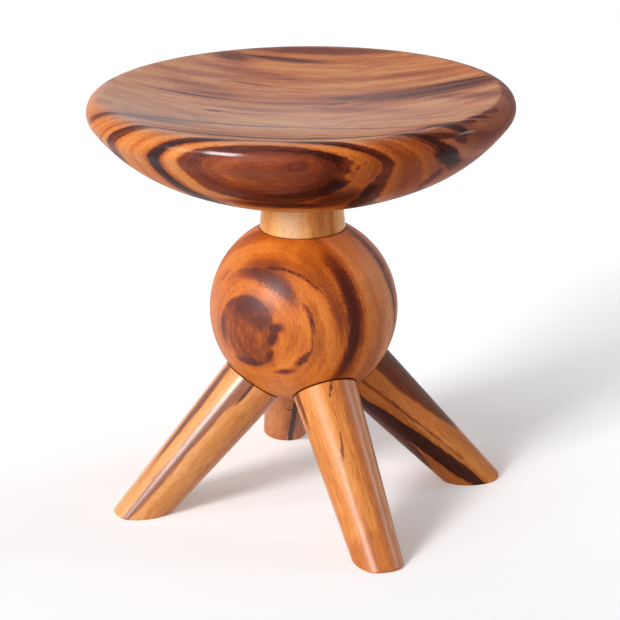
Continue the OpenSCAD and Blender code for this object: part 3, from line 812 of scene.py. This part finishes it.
smooth = add(tree, "GeometryNodeSetShadeSmooth", {"Geometry": shaped})
whole = add(tree, "GeometryNodeRealizeInstances", {"Geometry": smooth})
dressed = add(tree, "GeometryNodeSetMaterial", {"Geometry": whole, "Material": size["Wood"]})
add(tree, "NodeGroupOutput", {"Leg": dressed})


def make_leg(name, leg, wood):
    """Makes one leg from the tree, with a socket for its dowel."""
    turn, reach, rise = leg
    slope, run, leaves_at = leg_line(*leg)
    taper = (LEG_TOP_R - LEG_FOOT_R) / (run - leaves_at)
    start_r = LEG_TOP_R + taper * leaves_at
    tip_along = (rise + start_r * math.cos(slope)) / (math.sin(slope) + taper * math.cos(slope))
    tip_reach = (tip_along * math.cos(slope)
        + (start_r - taper * tip_along) * math.sin(slope))
    given = {"Turn": math.radians(turn), "Slope": slope, "Rise": rise * MM, "Reach": reach * MM,
        "Start radius": start_r * MM, "Taper": taper, "Ball radius": (BALL_R + GLUE_GAP) * MM,
        "Ball height": BALL_Z * MM, "Top ease": TOP_EASE * MM,
        "Sole ease": SOLE_EASE * MM, "Tip ease": TIP_EASE * MM,
        "Tip radius": (tip_reach - reach - TIP_TRIM) * MM,
        "Sides": 128, "Rows": 96, "Wood": wood}
    piece = bpy.data.objects.new(name, bpy.data.meshes.new(name))
    scene.collection.objects.link(piece)
    rule = piece.modifiers.new("coped_leg", "NODES")
    rule.node_group = leg_tree
    for item in leg_tree.interface.items_tree:
        if item.in_out == "INPUT":
            rule[item.identifier] = given[item.name]
    finished(piece)
    bore(piece, leg)
    return piece


def leg_wood(name, leg, seam, table, tones, base, shine, soft=0.45):
    """Wood of one leg. Streaks run along it at angles round from its top, in degrees."""
    wood = blank_material(name)
    tree = wood.node_tree
    matrix = leg_frame(*leg)
    up_grain, across = matrix.to_3x3() @ Vector((0, 0, 1)), matrix.to_3x3() @ Vector((0, 1, 0))
    board = on_board(tree, matrix.translation, up_grain, across)
    spot = add(tree, "ShaderNodeSeparateXYZ", {0: board})
    wave = wander(tree, board, 16, 90, 4)
    tooth = wander(tree, board, 1.3, 26, 2.4)
    # Turned so that the angle wraps round on the side without figure
    seen_at = add(tree, "ShaderNodeVectorRotate", {"Vector": board,
        "Angle": math.radians(seam)}, rotation_type="Z_AXIS")
    seen_spot = add(tree, "ShaderNodeSeparateXYZ", {0: seen_at})
    degrees = turn_of(tree, seen_spot.outputs["X"], seen_spot.outputs["Y"])
    from_top = add(tree, "ShaderNodeMath", {0: degrees, 1: seam}, operation="ADD")
    angle_waved = add(tree, "ShaderNodeMath", {0: from_top, 1: wave}, operation="ADD")
    angle_jagged = add(tree, "ShaderNodeMath", {0: angle_waved, 1: tooth}, operation="ADD")
    place = add(tree, "ShaderNodeCombineXYZ", {0: spot.outputs["Z"], 1: angle_jagged})
    dark = streaks(tree, place, table, soft)
    dull = wander(tree, board, 14, 120, 0.1)
    striped = wander(tree, board, 3, 150, 0.07)
    uneven = add(tree, "ShaderNodeMath", {0: dull, 1: striped}, operation="ADD")
    based = add(tree, "ShaderNodeMath", {0: uneven, 1: base}, operation="ADD")
    figured = add(tree, "ShaderNodeMath", {0: based, 1: dark}, operation="MAXIMUM")
    # The painted shade of the crease at the joint takes in the eased edge
    object_spot = add(tree, "ShaderNodeTexCoord")
    from_ball = add(tree, "ShaderNodeVectorMath", {0: object_spot.outputs["Object"],
        1: (0, 0, BALL_Z * MM)}, operation="DISTANCE")
    joint_shade = add(tree, "ShaderNodeMapRange", {"Value": from_ball.outputs["Value"],
        "From Min": (BALL_R + 1.5) * MM, "From Max": (BALL_R + 0.2) * MM, "To Max": 0.85},
        interpolation_type="SMOOTHSTEP")
    with_joint_shade = add(tree, "ShaderNodeMath", {0: figured, 1: joint_shade}, operation="MAXIMUM")
    layer = add(tree, "ShaderNodeMath", {0: spot.outputs["X"], 1: wave}, operation="ADD")
    lacquered(tree, board, layer, with_joint_shade, tones, 0.09, coat=shine[0],
        coat_rough=shine[1])
    return wood


pale_tones = [(0.0, "#F0AC6A"), (0.25, "#D6843C"), (0.5, "#9C5830"), (0.75, "#6E3826"),
    (1.0, "#46201A")]
orange_tones = [(0.0, "#F0A050"), (0.25, "#CE7430"), (0.5, "#9C5428"), (0.75, "#6E3620"),
    (1.0, "#46201A")]
dark_tones = [(0.0, "#EE9A50"), (0.25, "#CC7434"), (0.5, "#84411F"), (0.75, "#542616"),
    (1.0, "#3A170E")]
leg_looks = {
    "right": ("dark_leg_wood", -90, [(85, 5, 122, 74, 0, 0.64), (85, 2, 90, 40, 0, 0.74),
        (180, -112, 110, 16, 19, 0.85), (115, -156, 98, 30, 0, 0.66), (140, -90, 90, 3, 12, 0.4)],
        dark_tones, 0.12, (0.4, 0.3), 0.22),
    "back": ("dark_leg_wood", 180, [(190, 181, 70, 6, 0, 0.9), (151, 172, 1.5, 12, 0, 0.9)],
        dark_tones, 0.2, (0.5, 0.3)),
    "left": ("pale_leg_wood", 60, [(150, 54, 190, 9.5, -1.5, 0.6), (80, 61, 34, 13, 0, 0.56),
        (225, 51, 70, 11, 0, 0.56), (86, 74, 16, 4, 0, 0.9), (118, 10, 82, 9, 0, 0.62),
        (230, 130, 200, 14, 0, 0.28), (150, 100, 150, 25, 0, 0.16)], pale_tones, 0.02,
        (1.35, 0.22), 0.7),
    "front": ("pale_leg_wood", 0, [(86, -10, 9, 1.5, -28, 0.7), (142, -24, 15, 2.2, -18, 0.7),
        (165, 17, 150, 19, -2, 0.32), (150, 62, 160, 16, 0, 0.42), (84, -84, 26, 6, 0, 0.6),
        (272, -10, 48, 160, 0, 0.28), (205, 40, 60, 26, 0, 0.16)], orange_tones, 0.14,
        (1.2, 0.32))}
for side, (slot, *look) in leg_looks.items():
    wood = leg_wood("lacquered_leg_wood_" + side, legs[side], *look)
    leg = make_leg("tapered_leg_" + side, legs[side], wood)
    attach(leg, "root")
    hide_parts("leg_" + side)

# Leg dowels
# Four fluted beech dowels, bought in lengths and cut, hidden in the joints between the ball and
# the legs. Bare wood: glue holds them, and no lacquer reaches them.
dowel_wood = blank_material("bare_beech_dowel")
tree = dowel_wood.node_tree
spot = add(tree, "ShaderNodeTexCoord")
board = add(tree, "ShaderNodeMapping", {"Vector": spot.outputs["Object"],
    "Scale": (MM, MM, MM)}, vector_type="TEXTURE")
# Beech's small rays are flecks about a millimetre long
fleck = wander(tree, board, 0.8, 3, 0.5)
tone = add(tree, "ShaderNodeMapRange", {"Value": fleck, "From Min": -0.5, "From Max": 0.5})
beech = add(tree, "ShaderNodeMix", {"Factor": tone, "A": linear("#D9BC93"),
    "B": linear("#C7A274")}, data_type="RGBA")
bare = add(tree, "ShaderNodeBsdfPrincipled", {"Base Color": beech.outputs["Result"],
    "Roughness": 0.65, "IOR": 1.5})
add(tree, "ShaderNodeOutputMaterial", {"Surface": bare})
for side in legs:
    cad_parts["dowel_" + side].data.materials[0] = dowel_wood
